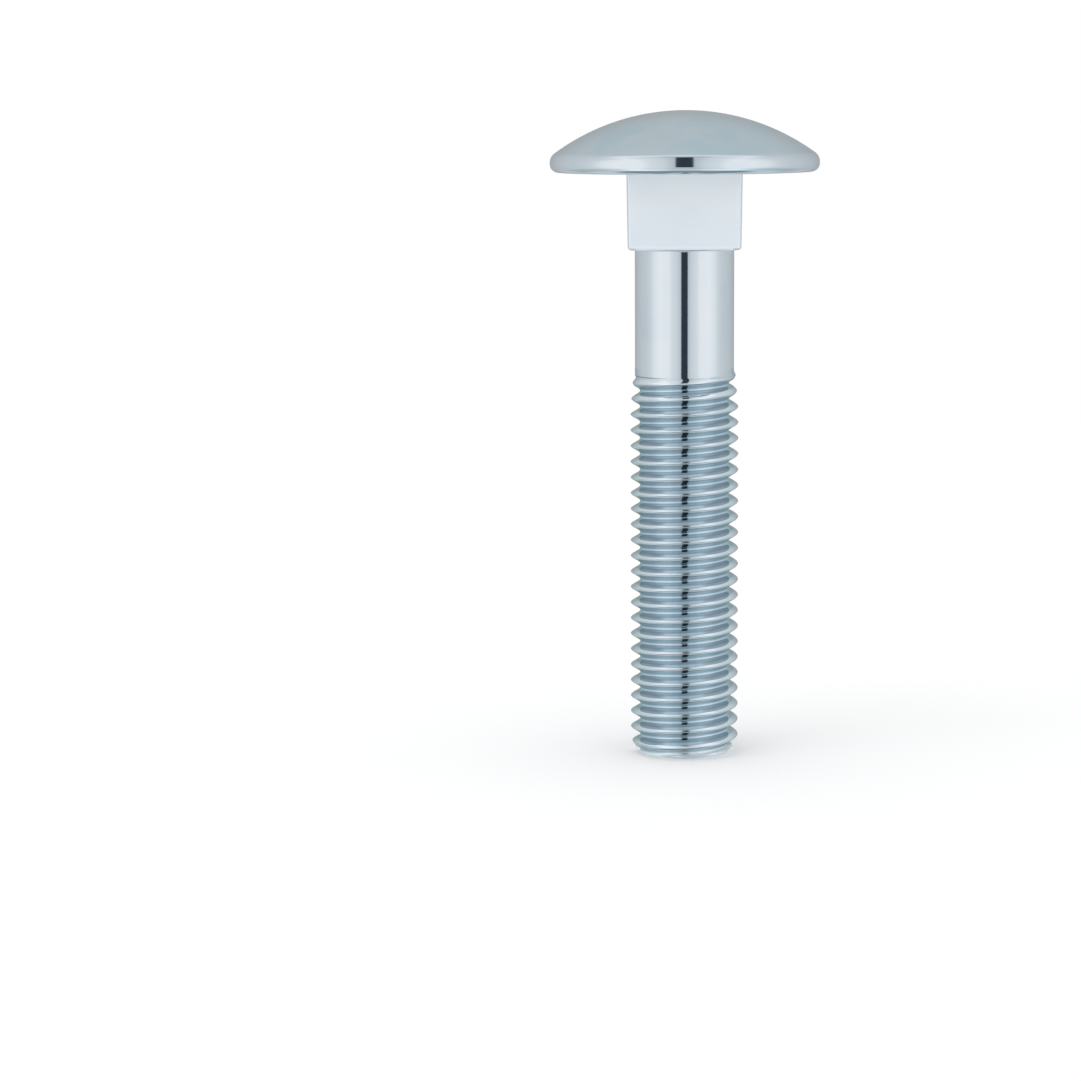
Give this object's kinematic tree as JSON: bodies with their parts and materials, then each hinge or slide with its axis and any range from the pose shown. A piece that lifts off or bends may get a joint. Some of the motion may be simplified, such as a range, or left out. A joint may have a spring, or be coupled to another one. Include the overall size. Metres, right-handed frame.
{
  "type": "carriage bolt",
  "caption": "Round domed-head bolt with a square neck, a plain shank and a long coarse rolled thread with a flat, chamfered end.",
  "frame": {"origin": "centre of the flat bearing face under the head", "axes": "+Z along the bolt, out through the top of the dome; the bolt's end points along -Z and two flat sides of the square neck face along X"},
  "size_m": [0.0296, 0.0294, 0.0711],
  "materials": {
    "bright_zinc": "bright zinc plate on forged steel, smooth and bluish"
  },
  "bodies": {
    "root": {"bolt": "bright_zinc"}
  },
  "joints": []
}
